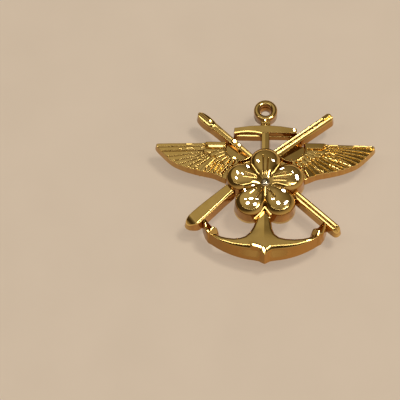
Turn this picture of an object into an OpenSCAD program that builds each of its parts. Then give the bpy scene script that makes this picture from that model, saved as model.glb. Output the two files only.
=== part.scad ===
// Wings and anchor breast badge: struck, gold plated emblem pieces held on a back plate,
// with three sharp posts and three squeeze clutches behind it. Lies face up, +Y to the ring.

/* [Wings] */
// Distance from the badge's centre line to a wing tip
wing_reach = 28; // [27:0.5:29]
// Thickness of a wing's ground, under the feathers
wing_t = 2.2; // [1.8:0.1:2.4]
// Number of long feathers in a wing
feather_count = 10; // [8:1:12]
// How far a feather stands above the wing's ground
feather_rise = 0.35; // [0.2:0.05:0.5]

/* [Rifles] */
// Angle of the rifle that points to the upper right
right_angle = 38; // [37:0.5:39]
// Angle of the rifle that points to the upper left
left_angle = -42.8; // [-44:0.2:-42]
// Thickness of the rifles, the anchor and its stock, without their ridges
bar_t = 2.5; // [2.2:0.1:2.7]
// Radius of the rounded ridges along the rifles
ridge_r = 0.52; // [0.4:0.02:0.55]

/* [Anchor] */
// Radius of the circle that the outside of the arms follows
arm_r = 22.3; // [22:0.1:22.6]
// Half length of the stock
stock_half = 8; // [7:0.25:8.5]
// Outside radius of the ring
ring_r = 2.95; // [2.8:0.05:3.2]
// Radius of the hole in the ring
ring_hole_r = 1.75; // [1.5:0.05:1.8]
// Height of the ring
ring_t = 3; // [2.6:0.1:3.2]

/* [Blossom] */
// Radius of one petal
petal_r = 3.9; // [3.7:0.05:4]
// Distance from the blossom's centre to a petal's centre
petal_ring = 6.2; // [6:0.05:6.3]
// Height of the blossom's rim above the back face
rim_z = 3.3; // [3:0.1:3.6]
// Height of the petals' domes above the back face
petal_top = 5.6; // [5.2:0.1:5.8]
// Height of the centre rivet above the back face
boss_top = 5.7; // [5.5:0.1:6]

/* [Back] */
// Thickness of the back plate
plate_t = 0.8; // [0.6:0.1:0.9]
// Radius of a post
post_r = 0.55; // [0.45:0.05:0.6]
// Length of a post below the back face
post_len = 5.4; // [5:0.1:5.6]
// Radius of a clutch's dish
dish_r = 3.9; // [3.8:0.1:4.4]
// Distance of the side posts from the centre line
post_x = 12.6; // [12:0.1:13.4]

/* [Hidden] */

GOLD = [0.83, 0.64, 0.28];
OLD_GOLD = [0.72, 0.53, 0.22];
NICKEL = [0.75, 0.73, 0.68];
CLUTCH = [0.80, 0.66, 0.36];
tall = 20;

// The straps that cross behind the blossom lie in three layers on the back plate.
strap_t = 0.5;
strap_w = 1.6;
strap_bite = 0.4;
right_strap_z = plate_t;
left_strap_z = right_strap_z + strap_t;
shank_strap_z = left_strap_z + strap_t;
cavity_z = shank_strap_z + strap_t;
slip = 0.05;
rim_w = 0.9;
notch_r = 7.2;

// Wings
shoulder = [9.5, 11.2];
wing_top = 12.4;
fan_end = 78;
short_feather = 8.3;
long_feather = wing_reach - shoulder[0];
pocket = [6.6, 11.1];
pocket_r = 3.5;
collar_w = 0.7;
tongue = [[6.6, 4.4], [10.4, 4.4], [10.4, 5.6], [6.6, 5.6]];

// Rifles
right_muzzle = [17, 20.6];
left_muzzle = [-17.04, 20.94];
barrel_half = 1.1;

// Anchor
arm_centre_y = 3;
crown_y = -20.1;
fluke_x = 13.3;
shank_half = 1;
ring_y = 21.9;
stock_y = [14.9, 16.8, 17.3];

// Posts and clutches
posts = [[-post_x, 8.6], [post_x, 8.6], [0, -4.6]];
flange_r = 1.1;
flange_t = 0.3;
rivet_r = 0.6;
dish_top = -0.4;
dish_t = 0.4;
dish_lip = 0.5;
hub_r = 1.4;
hub_bottom = -1.2;
run_gap = 0.06;
pivot_x = 2.1;
pivot_z = -3;
pin_r = 0.3;
ear_y = 2;
ear_t = 0.35;
wing_plate_t = 0.3;
curl_half = 1.1;
curl_r = 0.28;
wing_tip = [4.2, -5.4];
jaw_tip = [0.12, -2.2];
jaw_half = 1.5;

module petals(r) {
    for (i = [0:4])
        rotate(90 + 72 * i)
            translate([petal_ring, 0])
                circle(r = r, $fn = 96);
    circle(r = petal_ring * 0.9, $fn = 96);
}

module behind_blossom() {
    linear_extrude(tall, center = true)
        petals(petal_r);
}

// The rifles also stop short of the two notches between the upper petals.
module behind_notches() {
    cylinder(r = notch_r, h = tall, center = true, $fn = 96);
}

// Plan outlines of the rifles, each in its own line from the muzzle at x = 0
module on_right_rifle() {
    translate(right_muzzle)
        rotate(180 + right_angle)
            children();
}

module on_left_rifle() {
    translate(left_muzzle)
        rotate(left_angle)
            children();
}

module right_rifle_outline() {
    on_right_rifle()
        polygon([
            [0, -1.15], [16, -barrel_half], [30, -0.6], [35, -0.3], [41, 0.05], [46.2, 0.6],
            [47.7, 1], [48.2, 1.7], [47.8, 2.7], [46.6, 3.9], [45.6, 4.3], [44.5, 4.1],
            [35, 2.6], [28, 2], [16, barrel_half], [0, barrel_half]
        ]);
}

module left_rifle_outline() {
    on_left_rifle()
        polygon([
            [0, 0.1], [0.6, 0.8], [1.8, 1.15], [3.2, 1.2], [4.4, 1.05], [5.4, 0.9], [30, 0.95],
            [47, 1.05], [47.9, 0.7], [48.3, 0], [47.9, -0.8], [47, -1.1], [30, -1], [5.4, -0.9],
            [4.4, -1.15], [2.6, -1.25], [0.9, -1], [0.1, -0.5]
        ]);
}

module strap(z) {
    translate([0, 0, z])
        linear_extrude(strap_t)
            intersection() {
                petals(petal_r + strap_bite);
                children();
            }
}

module right_strap_line(w) {
    on_right_rifle()
        translate([12, -w / 2 + 0.4])
            square([26, w]);
}

module left_strap_line(w) {
    on_left_rifle()
        translate([12, -w / 2])
            square([26, w]);
}

module shank_strap_line(w) {
    translate([-w / 2, -12])
        square([w, 24]);
}

// A half cylinder ridge that lies along x, from x0 to x1, at y
module ridge(x0, x1, y, r) {
    translate([x0, y, bar_t])
        rotate([0, 90, 0])
            cylinder(r = r, h = x1 - x0, $fn = 48);
}

module right_rifle() color(OLD_GOLD) {
    difference() {
        union() {
            linear_extrude(bar_t)
                right_rifle_outline();
            on_right_rifle() {
                ridge(2.8, 22, -0.55, ridge_r);
                ridge(0, 22, 0.5, ridge_r);
                translate([33, 1.2, bar_t])
                    rotate([0, 90, 5])
                        cylinder(r = ridge_r, h = 13.5, $fn = 48);
                translate([0, -1.15, 0])
                    cube([1.9, 1, bar_t + ridge_r]);
            }
        }
        behind_blossom();
        behind_notches();
    }
    strap(right_strap_z)
        right_strap_line(strap_w);
}

module left_rifle() color(OLD_GOLD) {
    difference() {
        union() {
            linear_extrude(bar_t)
                left_rifle_outline();
            on_left_rifle() {
                ridge(1, 47.4, 0.35, ridge_r);
                for (x = [12.2, 13.7])
                    translate([x, 0.1, bar_t])
                        sphere(r = 0.7, $fn = 48);
            }
        }
        behind_blossom();
        behind_notches();
    }
    strap(left_strap_z)
        left_strap_line(strap_w);
}

// Wings, drawn for the right hand side
function feather_angle(i) = 2 + (fan_end - 2) * pow(i / (feather_count - 1), 1.3);
function feather_len(a) = short_feather + (long_feather - short_feather) * pow(1 - a / 80, 1.8);
function feather_half(a) = 0.95 + 0.35 * pow(1 - a / 80, 2);

module feather(i, from, width, shorten) {
    a = feather_angle(i);
    half = feather_half(a) * width;
    end = feather_len(a) - half - shorten;
    translate(shoulder)
        rotate(-a) {
            polygon([[from, -half * 0.45], [end, -half], [end, half], [from, half * 0.45]]);
            translate([end, 0])
                circle(r = half, $fn = 48);
        }
}

module wing_outline() {
    for (i = [0:feather_count - 1])
        feather(i, 0, 1, 0);
    polygon([
        [8.2, wing_top], [15.4, wing_top + 0.1], [16.2, wing_top - 0.15], [wing_reach - 1, wing_top - 0.1],
        [wing_reach - 0.2, wing_top - 0.4], [wing_reach - 1, 11], [18, 6], [11, 3.2], [8, 1.2], [3, 4],
        [2, 8.2], [3, 9.1], [7.4, 12.5]
    ]);
}

module wing() {
    difference() {
        union() {
            linear_extrude(plate_t)
                wing_outline();
            linear_extrude(wing_t)
                difference() {
                    wing_outline();
                    translate(pocket)
                        circle(r = pocket_r, $fn = 96);
                }
            linear_extrude(wing_t + feather_rise)
                difference() {
                    for (i = [0:feather_count - 1])
                        feather(i, 3.4, 0.6, 0.5);
                    translate(pocket)
                        circle(r = pocket_r, $fn = 96);
                }
            linear_extrude(wing_t + 2 * feather_rise)
                intersection() {
                    difference() {
                        translate(pocket)
                            circle(r = pocket_r + collar_w, $fn = 96);
                        translate(pocket)
                            circle(r = pocket_r, $fn = 96);
                    }
                    wing_outline();
                }
            linear_extrude(wing_t + 2 * feather_rise)
                polygon([[10.6, 10.9], [14.6, 10.9], [15.6, 12.3], [10.6, wing_top]]);
        }
        behind_blossom();
        children();
    }
    strap(left_strap_z)
        polygon(tongue);
}

module rifles_cut() {
    difference() {
        linear_extrude(tall, center = true) {
            right_rifle_outline();
            left_rifle_outline();
        }
        behind_notches();
    }
}

module right_wing() color(GOLD)
    wing()
        rifles_cut();

module left_wing() color(GOLD)
    mirror([1, 0, 0])
        wing()
            mirror([1, 0, 0])
                rifles_cut();

// Anchor
function arm_point(x) = [x, arm_centre_y - sqrt(arm_r * arm_r - x * x)];

module half_anchor_outline() {
    polygon(concat(
        [[0, crown_y], [1.5, arm_point(1.5)[1] - 0.1]],
        [for (x = [2.5:1.35:fluke_x]) arm_point(x)],
        [
            [fluke_x, -14.9], [14.6, -13.5], [15.1, -12], [15.4, -10.6], [15.1, -9.6], [14.3, -10.3],
            [13.1, -11.3], [12.2, -12.1], [11.4, -13], [11.7, -13.5], [10.8, -14.2], [9.5, -14.6],
            [7.5, -14.8], [5.5, -14.6], [4.4, -14], [3.3, -12.7], [2.4, -10.8], [1.7, -9],
            [1.3, -6], [0, -6]
        ]
    ));
}

module anchor_outline() {
    half_anchor_outline();
    mirror([1, 0])
        half_anchor_outline();
    translate([-shank_half, 9])
        square([2 * shank_half, stock_y[0] - 9]);
}

// A roof shaped strip along -Y: half width w, standing h above the bars
module roof(w, h, len) {
    translate([0, 0, bar_t])
        rotate([90, 0, 0])
            linear_extrude(len)
                polygon([[-w, 0], [w, 0], [0, h]]);
}

module anchor() color(GOLD) {
    difference() {
        union() {
            linear_extrude(bar_t)
                anchor_outline();
            translate([0, -9, 0])
                roof(1.2, 0.7, 9.5);
            translate([0, stock_y[0], 0])
                roof(0.8, 0.5, 5);
            translate([0, arm_centre_y, bar_t])
                rotate(-90 - 34)
                    rotate_extrude(angle = 68, $fn = 180)
                        polygon([[arm_r - 2.8, 0], [arm_r - 0.6, 0], [arm_r - 1.9, 0.7]]);
        }
        behind_blossom();
        rifles_cut();
    }
    strap(shank_strap_z)
        difference() {
            union() {
                shank_strap_line(strap_w);
                circle(r = 2 * rivet_r, $fn = 48);
            }
            circle(r = rivet_r + slip, $fn = 48);
        }
    translate([-shank_half, stock_y[0], 0])
        cube([2 * shank_half, stock_y[2] - stock_y[0], bar_t / 2]);
}

module anchor_stock() color(GOLD)
    difference() {
        union() {
            linear_extrude(bar_t)
                stock_outline(0);
            linear_extrude(bar_t + 0.6)
                stock_outline(0.6);
        }
        translate([-shank_half, 0, -1])
            cube([2 * shank_half, tall, bar_t / 2 + 1]);
        rifles_cut();
    }

module stock_outline(low) {
    polygon([
        [-stock_half, stock_y[0] + low], [stock_half, stock_y[0] + low], [stock_half, stock_y[1]],
        [0, stock_y[2]], [-stock_half, stock_y[1]]
    ]);
}

module anchor_ring() color(GOLD) {
    round_r = 0.55;
    difference() {
        union() {
            translate([0, ring_y, 0])
                rotate_extrude($fn = 96) {
                    square([ring_r, ring_t - round_r]);
                    square([ring_r - round_r, ring_t]);
                    translate([ring_r - round_r, ring_t - round_r])
                        circle(r = round_r, $fn = 48);
                }
            translate([-1.2, stock_y[2], 0])
                cube([2.4, ring_y - ring_r - stock_y[2] + 0.6, bar_t]);
        }
        translate([0, ring_y, -1])
            cylinder(r = ring_hole_r, h = ring_t + 2, $fn = 96);
    }
}

// Blossom and what holds it
module back_plate() color(OLD_GOLD)
    difference() {
        linear_extrude(plate_t)
            petals(petal_r);
        translate([0, 0, -1])
            cylinder(r = rivet_r, h = plate_t + 2, $fn = 48);
    }

module petal_domes() {
    cap_r = petal_r - rim_w;
    rise = petal_top - rim_z;
    dome_r = (cap_r * cap_r + rise * rise) / (2 * rise);
    for (i = [0:4])
        rotate(90 + 72 * i)
            intersection() {
                translate([petal_ring - 0.2, 0, petal_top - dome_r])
                    sphere(r = dome_r, $fn = 96);
                translate([0, -5, rim_z - 0.5])
                    cube([12, 10, 5]);
            }
}

module blossom() color(GOLD)
    difference() {
        union() {
            translate([0, 0, plate_t])
                linear_extrude(rim_z - plate_t)
                    petals(petal_r);
            petal_domes();
            cylinder(r = 4.8, h = rim_z + 0.9, $fn = 96);
        }
        linear_extrude(cavity_z)
            petals(petal_r - rim_w);
        linear_extrude(right_strap_z + strap_t)
            right_strap_line(strap_w + 2 * slip);
        translate([0, 0, left_strap_z])
            linear_extrude(strap_t)
                left_strap_line(strap_w + 2 * slip);
        translate([0, 0, shank_strap_z])
            linear_extrude(strap_t)
                shank_strap_line(strap_w + 2 * slip);
        for (side = [0, 1])
            mirror([side, 0, 0])
                linear_extrude(left_strap_z + strap_t)
                    polygon(tongue);
        cylinder(r = 4.9, h = plate_t, $fn = 96);
        translate([0, 0, -1])
            cylinder(r = rivet_r, h = tall, $fn = 48);
    }

module centre_rivet() color(OLD_GOLD) {
    cylinder(r = rivet_r, h = rim_z + 0.9, $fn = 48);
    translate([0, 0, rim_z + 0.9])
        cylinder(r = 1.25, h = 0.4, $fn = 48);
    translate([0, 0, rim_z + 1.3])
        intersection() {
            translate([0, 0, boss_top - rim_z - 1.3 - 1.25])
                sphere(r = 1.25, $fn = 48);
            cylinder(r = 2, h = 2, $fn = 48);
        }
}

// Posts and clutches: p is the place of the post on the back face
module post(p) color(NICKEL)
    translate([p[0], p[1], 0])
        rotate_extrude($fn = 48)
            polygon([
                [0, 0], [flange_r, 0], [flange_r, -flange_t * 0.6], [flange_r - 0.2, -flange_t], [post_r, -flange_t],
                [post_r, -post_len + 0.9], [0, -post_len]
            ]);

module left_post() post(posts[0]);
module right_post() post(posts[1]);
module lower_post() post(posts[2]);

module ear() {
    difference() {
        translate([pivot_x - 0.7, ear_y, pivot_z - 0.55])
            cube([1.4, ear_t, dish_top - dish_t - pivot_z + 0.65]);
        translate([pivot_x, ear_y - 1, pivot_z])
            rotate([-90, 0, 0])
                cylinder(r = pin_r + slip, h = 2, $fn = 48);
    }
}

module clutch_dish(p) color(CLUTCH)
    translate([p[0], p[1], 0]) {
        rotate_extrude($fn = 96)
            polygon([
                [post_r + run_gap, dish_top], [dish_r - 0.25, dish_top], [dish_r, dish_top - 0.25],
                [dish_r, dish_top - dish_t - dish_lip], [dish_r - 0.3, dish_top - dish_t - dish_lip],
                [dish_r - 0.3, dish_top - dish_t], [hub_r, dish_top - dish_t], [hub_r - 0.2, hub_bottom],
                [post_r + run_gap, hub_bottom]
            ]);
        for (sx = [0, 1], sy = [0, 1])
            mirror([sx, 0, 0])
                mirror([0, sy, 0])
                    ear();
    }

// A flat plate from a to b in the XZ plane, half_w wide to each side of y = 0
module strip(a, b, half_w) {
    d = b - a;
    translate([a[0], 0, a[1]])
        rotate([0, -atan2(d[1], d[0]), 0])
            translate([0, -half_w, -wing_plate_t / 2])
                cube([norm(d), 2 * half_w, wing_plate_t]);
}

module clutch_wing(p, side) color(CLUTCH)
    translate([p[0], p[1], 0])
        mirror([side, 0, 0])
            difference() {
                union() {
                    translate([pivot_x, -ear_y - ear_t - 0.1, pivot_z])
                        rotate([-90, 0, 0])
                            cylinder(r = pin_r, h = 2 * (ear_y + ear_t + 0.1), $fn = 48);
                    strip([pivot_x, pivot_z], wing_tip, ear_y - 0.15);
                    strip(jaw_tip, [pivot_x, pivot_z], jaw_half);
                    translate([wing_tip[0], -curl_half, wing_tip[1]])
                        rotate([-90, 0, 0])
                            cylinder(r = curl_r, h = 2 * curl_half, $fn = 48);
                }
                cylinder(r = post_r + run_gap, h = tall, center = true, $fn = 48);
            }

module left_clutch_dish() clutch_dish(posts[0]);
module left_clutch_wing_a() clutch_wing(posts[0], 0);
module left_clutch_wing_b() clutch_wing(posts[0], 1);
module right_clutch_dish() clutch_dish(posts[1]);
module right_clutch_wing_a() clutch_wing(posts[1], 0);
module right_clutch_wing_b() clutch_wing(posts[1], 1);
module lower_clutch_dish() clutch_dish(posts[2]);
module lower_clutch_wing_a() clutch_wing(posts[2], 0);
module lower_clutch_wing_b() clutch_wing(posts[2], 1);

back_plate();
left_wing();
right_wing();
right_rifle();
left_rifle();
anchor();
anchor_stock();
anchor_ring();
blossom();
centre_rivet();
left_post();
right_post();
lower_post();
left_clutch_dish();
left_clutch_wing_a();
left_clutch_wing_b();
right_clutch_dish();
right_clutch_wing_a();
right_clutch_wing_b();
lower_clutch_dish();
lower_clutch_wing_a();
lower_clutch_wing_b();
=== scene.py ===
"""Looks of a wings and anchor badge: struck, gold plated emblem pieces on posts with squeeze clutches."""
import math
import bpy
import numpy as np
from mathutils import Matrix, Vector


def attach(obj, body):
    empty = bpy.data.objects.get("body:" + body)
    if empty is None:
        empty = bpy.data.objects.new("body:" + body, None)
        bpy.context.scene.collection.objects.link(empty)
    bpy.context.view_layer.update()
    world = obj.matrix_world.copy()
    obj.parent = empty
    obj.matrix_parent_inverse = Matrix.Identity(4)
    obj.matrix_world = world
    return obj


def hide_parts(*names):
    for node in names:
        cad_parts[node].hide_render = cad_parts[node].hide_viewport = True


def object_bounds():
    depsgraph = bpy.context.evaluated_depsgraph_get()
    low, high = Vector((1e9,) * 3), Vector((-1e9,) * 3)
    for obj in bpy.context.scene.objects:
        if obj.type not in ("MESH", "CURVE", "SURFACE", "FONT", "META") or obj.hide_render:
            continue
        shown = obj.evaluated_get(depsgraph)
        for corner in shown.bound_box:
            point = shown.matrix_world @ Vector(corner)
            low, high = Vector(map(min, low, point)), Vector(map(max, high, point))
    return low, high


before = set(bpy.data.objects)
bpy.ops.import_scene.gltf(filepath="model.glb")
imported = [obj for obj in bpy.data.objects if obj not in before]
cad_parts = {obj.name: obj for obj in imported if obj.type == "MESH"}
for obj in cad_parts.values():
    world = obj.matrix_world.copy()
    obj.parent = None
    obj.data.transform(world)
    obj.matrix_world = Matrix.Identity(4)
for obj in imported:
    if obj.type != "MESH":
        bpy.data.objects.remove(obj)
cad_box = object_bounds()

# Everything below is drawn in millimetres, in the frame's own axes, and stored in metres.
MM = 0.001
STEP = 0.12        # the grid of a struck relief
DRAFT = 0.3        # how far a wall leans out on its way down
PLATE = 0.8        # the thickness of the back plate
CRISP = 0.05       # the blend where one piece is cut to the shape of another
TURNS = 96         # the number of sides of a round piece
PROBE = 0.01       # the reach of a slope's measurement
CURVE_PARTS = 4    # the number of straight parts of a feather's curve

# Places shared by several pieces; a rifle's place is (x, y, direction) of its muzzle
PETAL_R = 3.9
PETAL_RING = 6.2
PETAL_ANGLES = [math.radians(90 + 72 * i) for i in range(5)]
HALF_PETAL = math.radians(36)
RIGHT_RIFLE = (17.0, 20.6, math.radians(218))
LEFT_RIFLE = (-17.04, 20.94, math.radians(-42.8))

# Slopes that mirror the long lamp and the round lamp straight up into a viewer in front of the badge
LINE_SLOPE = 0.333
LAMP_SLOPE = (0.158, -0.205)
KNOB_FALL = 2.5    # the slope of the sides of polished knobs and lines
BARB = 0.45        # the length of one small step in a polished line
BARB_START = 0.2   # how much of its first step lies before the line's first point


# ---------------------------------------------------------------- distance and height tools
def segment(x, y, a, b):
    """Distance from (x, y) to the segment from a to b, and how far along it the nearest point is, 0 to 1."""
    ex, ey = b[0] - a[0], b[1] - a[1]
    s = np.clip(((x - a[0]) * ex + (y - a[1]) * ey) / (ex * ex + ey * ey), 0, 1)
    return np.hypot(x - a[0] - s * ex, y - a[1] - s * ey), s


def polyline(x, y, points):
    """Distance to a line of points."""
    return np.minimum.reduce([segment(x, y, a, b)[0] for a, b in zip(points, points[1:])])


def path(x, y, points):
    """Distance to a line of points, and which side of it the place is on: 1 is its left."""
    near = np.full(np.shape(x), 1e9)
    side = np.zeros(np.shape(x))
    for a, b in zip(points, points[1:]):
        d = segment(x, y, a, b)[0]
        closer = d < near
        near = np.where(closer, d, near)
        cross = (b[0] - a[0]) * (y - a[1]) - (b[1] - a[1]) * (x - a[0])
        side = np.where(closer, np.sign(cross), side)
    return near, side


def bend(a, b, c):
    """A curve from a to c that is pulled towards b."""
    t = np.linspace(0, 1, CURVE_PARTS + 1)[:, None]
    curve = (1 - t) ** 2 * np.array(a) + 2 * t * (1 - t) * np.array(b) + t * t * np.array(c)
    return [tuple(point) for point in curve]


def outline(points):
    """Signed distance to a closed outline, negative inside."""
    closed = list(points) + [points[0]]

    def sdf(x, y):
        inside = np.zeros(np.shape(x), bool)
        for (ax, ay), (bx, by) in zip(closed, closed[1:]):
            if ay != by:
                inside ^= ((ay > y) != (by > y)) & (x < ax + (y - ay) * (bx - ax) / (by - ay))
        return np.where(inside, -1, 1) * polyline(x, y, closed)
    return sdf


def soften(points, times):
    """Cuts the corners of a closed outline so that it runs smoothly."""
    p = np.array(points, float)
    for _ in range(times):
        q = np.roll(p, -1, axis=0)
        p = np.stack([0.75 * p + 0.25 * q, 0.25 * p + 0.75 * q], 1).reshape(-1, 2)
    return [tuple(v) for v in p]


def soft_max(a, b, k):
    """The higher of two values, blended where they differ by less than k."""
    h = np.clip(0.5 + 0.5 * (a - b) / k, 0, 1)
    return b * (1 - h) + a * h + k * h * (1 - h)


def soft_min(a, b, k):
    return -soft_max(-a, -b, k)


def smooth(x, low, high):
    """0 below low and 1 above high, with a soft step between them."""
    t = np.clip((x - low) / (high - low), 0, 1)
    return t * t * (3 - 2 * t)


def along(points, count):
    """Points spaced evenly along a line of points."""
    p = np.array(points, float)
    run = np.concatenate([[0], np.cumsum(np.hypot(*np.diff(p, axis=0).T))])
    at = np.linspace(0, run[-1], count)
    return list(zip(np.interp(at, run, p[:, 0]), np.interp(at, run, p[:, 1])))


def bump(d, half):
    """1 on a ridge's line, falling in a round curve to 0 at its half width."""
    return np.sqrt(np.clip(1 - (d / half) ** 2, 0, 1))


def within(x, y, x0, x1, y0, y1):
    """How far a point is inside a box; negative outside it."""
    return np.minimum.reduce([x - x0, x1 - x, y - y0, y1 - y])


def groove(d, depth, half):
    """The depth of a soft groove at a distance from its line."""
    return depth * np.exp(-(d / half) ** 2)


def off_line(x, y, line, radius):
    """How far a point is outside the band of a radius around a line."""
    return np.maximum(polyline(x, y, line) - radius, 0)


def glint(x, y, line, radius, height, hand=1):
    """A low knob along a line, with steep sides and a flat top that is tilted towards the round lamp."""
    tilt = LAMP_SLOPE[1] * (line[0][1] - y) + hand * LAMP_SLOPE[0] * (line[0][0] - x)
    return height + tilt - KNOB_FALL * off_line(x, y, line, radius)


def streak(x, y, line, radius, height):
    """A narrow line of small steps in the struck relief, each of them tilted to mirror the long lamp."""
    along_step = np.mod(y - line[0][1] + BARB_START, BARB) - BARB_START
    return height + LINE_SLOPE * along_step - KNOB_FALL * off_line(x, y, line, radius)


def to_frame(place, x, y):
    """From a piece's own axes to the badge's."""
    ox, oy, a = place
    return ox + x * math.cos(a) - y * math.sin(a), oy + x * math.sin(a) + y * math.cos(a)


def to_local(place, x, y):
    """From the badge's axes to a piece's own."""
    ox, oy, a = place
    dx, dy = x - ox, y - oy
    return dx * math.cos(a) + dy * math.sin(a), -dx * math.sin(a) + dy * math.cos(a)


# ---------------------------------------------------------------- struck relief meshes
EDGE_TURNS = np.radians([15, 30, 45, 60, 75, 90])
WALL_PARTS = (0.35, 0.7, 1.0)
LEAST_WALL = 0.02
SETTLE_PULL = 0.9
SETTLE_REACH = 0.3


def slope_of(sdf, x, y):
    """The direction that leads straight out of an outline."""
    gx = sdf(x + PROBE, y) - sdf(x - PROBE, y)
    gy = sdf(x, y + PROBE) - sdf(x, y - PROBE)
    n = np.hypot(gx, gy) + 1e-9
    return gx / n, gy / n


def settle(sdf, x, y, level):
    """Moves points onto the line where the distance to the outline is level."""
    for _ in range(4):
        gx, gy = slope_of(sdf, x, y)
        d = SETTLE_PULL * np.clip(sdf(x, y) - level, -SETTLE_REACH, SETTLE_REACH)
        x, y = x - d * gx, y - d * gy
    return x, y


def tidy_cells(cells):
    """Drops cells that hang on by a corner or a thread, so that the rim is one clean loop."""
    for _ in range(12):
        pad = np.pad(cells, 1)
        near = pad[:-2, 1:-1].astype(int) + pad[2:, 1:-1] + pad[1:-1, :-2] + pad[1:-1, 2:]
        keep = cells & (near >= 2)
        a, b, c, d = keep[:-1, :-1], keep[1:, :-1], keep[:-1, 1:], keep[1:, 1:]
        keep[:-1, :-1] &= ~(a & d & ~b & ~c)
        b, c = keep[1:, :-1], keep[:-1, 1:]
        keep[1:, :-1] &= ~(b & c & ~keep[:-1, :-1] & ~d)
        if (keep == cells).all():
            break
        cells = keep
    return cells


def grid_inside(sdf, box, edge, step):
    """The cells of a grid inside an inset outline: their corners' x and y, the cells, and the rim's edges."""
    xs = np.arange(box[0], box[1] + step, step)
    ys = np.arange(box[2], box[3] + step, step)
    gx, gy = np.meshgrid(xs, ys, indexing="ij")
    cells = tidy_cells(sdf(gx[:-1, :-1] + step / 2, gy[:-1, :-1] + step / 2) < -edge)
    ci, cj = np.nonzero(cells)
    rows = gx.shape[1]
    corner = ci * rows + cj
    corners = np.stack([corner, corner + rows, corner + rows + 1, corner + 1], 1)
    pad = np.pad(cells, 1)
    open_side = [~pad[1:-1, :-2], ~pad[2:, 1:-1], ~pad[1:-1, 2:], ~pad[:-2, 1:-1]]
    rim = np.concatenate([corners[open_side[k][cells]][:, [k, (k + 1) % 4]] for k in range(4)])
    used, packed = np.unique(corners, return_inverse=True)
    return gx.ravel()[used], gy.ravel()[used], packed.reshape(-1, 4), np.searchsorted(used, rim)


def even_rim(sdf, x, y, rim, edge):
    """Moves the rim's points off the grid's staircase and onto the inset outline."""
    loop = rim[:, 0]
    after = np.empty(len(x), int)
    after[rim[:, 0]] = rim[:, 1]
    before = np.empty(len(x), int)
    before[rim[:, 1]] = rim[:, 0]
    for _ in range(3):
        x[loop] = 0.5 * x[loop] + 0.25 * (x[after[loop]] + x[before[loop]])
        y[loop] = 0.5 * y[loop] + 0.25 * (y[after[loop]] + y[before[loop]])
    x[loop], y[loop] = settle(sdf, x[loop], y[loop], -edge)


def wall_rings(sdf, top, x, y, edge, base, draft):
    """Rings of points (x, y, height) from the rim over the rounded edge and down the drafted wall."""
    rings = []
    for turn in EDGE_TURNS:
        x, y = settle(sdf, x, y, -edge * (1 - math.sin(turn)))
        rings.append((x, y, np.maximum(top(x, y) - edge * (1 - math.cos(turn)), base + LEAST_WALL)))
    nx, ny = slope_of(sdf, x, y)
    high = rings[-1][2]
    for part in WALL_PARTS:
        rings.append((x + nx * draft * part, y + ny * draft * part, high + (base - high) * part))
    return rings


def relief(name, sdf, top, box, edge, base=0.0, step=STEP, place=(0, 0, 0), flip=False, draft=DRAFT):
    """A struck piece: a raised surface over an outline, with rounded edges, drafted walls and a flat back."""
    x, y, cells, rim = grid_inside(sdf, box, edge, step)
    even_rim(sdf, x, y, rim, edge)
    loop = rim[:, 0]
    rings = wall_rings(sdf, top, x[loop], y[loop], edge, base, draft)
    layers = [(x, y, top(x, y)), *rings, (x, y, np.full(len(x), base))]
    starts = np.cumsum([0] + [len(layer[0]) for layer in layers])
    in_ring = np.empty(len(x), int)
    in_ring[loop] = np.arange(len(loop))
    belts = [rim] + [in_ring[rim] + start for start in starts[1:-2]] + [rim + starts[-2]]
    faces = [cells, cells[:, ::-1] + starts[-2]]
    for upper, lower in zip(belts, belts[1:]):
        faces.append(np.stack([upper[:, 0], lower[:, 0], lower[:, 1], upper[:, 1]], 1))
    faces = np.concatenate(faces)
    co = np.stack([np.concatenate([layer[i] for layer in layers]) for i in range(3)], 1)
    co[:, 0], co[:, 1] = to_frame(place, co[:, 0], co[:, 1])
    if flip:
        co[:, 0] *= -1
        faces = faces[:, ::-1]
    obj = piece(name, co * MM, faces)
    foot = np.zeros(len(co), bool)
    foot[starts[-3]:starts[-2]] = True
    sharpen(obj.data, foot)
    return obj


def piece(name, co, faces):
    """A smooth shaded object of quads."""
    mesh = bpy.data.meshes.new(name)
    mesh.vertices.add(len(co))
    mesh.vertices.foreach_set("co", np.asarray(co, float).ravel())
    mesh.loops.add(faces.size)
    mesh.loops.foreach_set("vertex_index", faces.ravel())
    mesh.polygons.add(len(faces))
    mesh.polygons.foreach_set("loop_start", np.arange(len(faces)) * faces.shape[1])
    mesh.update(calc_edges=True)
    mesh.validate()
    mesh.shade_smooth()
    obj = bpy.data.objects.new(name, mesh)
    bpy.context.scene.collection.objects.link(obj)
    return obj


def sharpen(mesh, marked):
    """Keeps a crisp edge between marked points."""
    ends = np.empty(2 * len(mesh.edges), int)
    mesh.edges.foreach_get("vertices", ends)
    ends = ends.reshape(-1, 2)
    mark = mesh.attributes.new("sharp_edge", "BOOLEAN", "EDGE")
    mark.data.foreach_set("value", marked[ends[:, 0]] & marked[ends[:, 1]])


def revolve(name, profile, at):
    """A closed profile of (radius, height) points turned about a vertical line at a place."""
    radius, height = np.array(profile, float).T
    angle = np.linspace(0, 2 * math.pi, TURNS, endpoint=False)
    x = at[0] + np.outer(np.cos(angle), radius)
    y = at[1] + np.outer(np.sin(angle), radius)
    co = np.stack([x, y, np.tile(height, (TURNS, 1))], 2).reshape(-1, 3)
    count = len(profile)
    i, j = np.meshgrid(np.arange(TURNS), np.arange(count), indexing="ij")
    i2, j2 = (i + 1) % TURNS, (j + 1) % count
    faces = np.stack([i * count + j, i2 * count + j, i2 * count + j2, i * count + j2], 2).reshape(-1, 4)
    return piece(name, co * MM, faces)


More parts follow.
